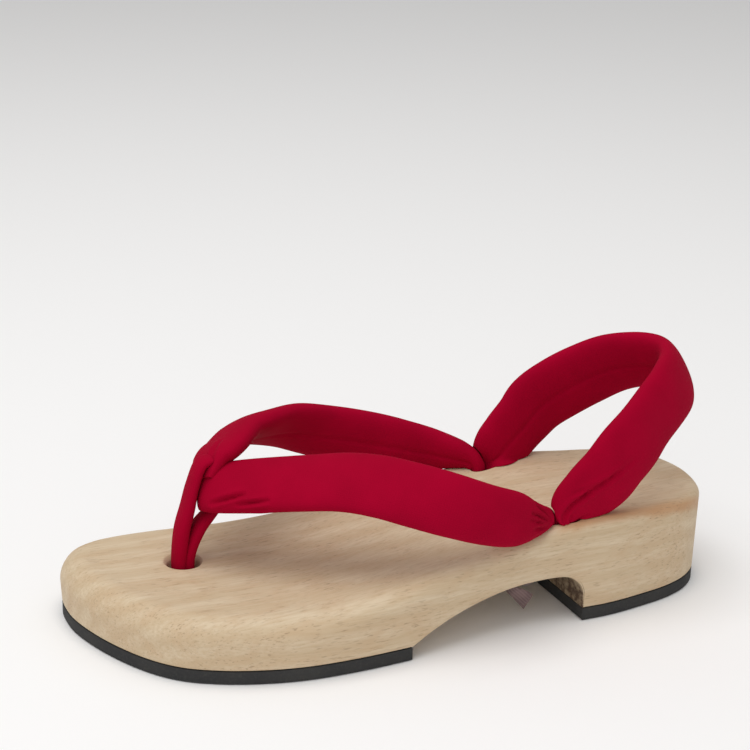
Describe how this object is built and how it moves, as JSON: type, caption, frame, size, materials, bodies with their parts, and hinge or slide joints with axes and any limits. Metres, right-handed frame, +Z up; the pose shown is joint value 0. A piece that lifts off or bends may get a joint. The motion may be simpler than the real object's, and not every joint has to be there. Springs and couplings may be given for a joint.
{
  "type": "geta sandal",
  "caption": "Wooden geta with rubber pads, an arch cut-out, a padded V strap with a toe loop and a padded heel strap",
  "frame": {"origin": "on the floor under the middle of the bounding box", "axes": "+Z up, +Y from the toes to the heel, +X toward the outer (little toe) side"},
  "size_m": [0.1004, 0.241, 0.0936],
  "materials": {
    "wood": "matte sanded",
    "pad_rubber": "matte",
    "strap_cloth": "soft matte",
    "tape_cloth": "matte"
  },
  "bodies": {
    "root": {"sole_wood": "wood", "pad_forefoot": "pad_rubber", "pad_heel": "pad_rubber", "strap_front": "strap_cloth", "strap_heel": "strap_cloth", "toe_loop": "strap_cloth", "knot_front": "tape_cloth", "knot_outer": "tape_cloth", "knot_inner": "tape_cloth"}
  },
  "joints": []
}
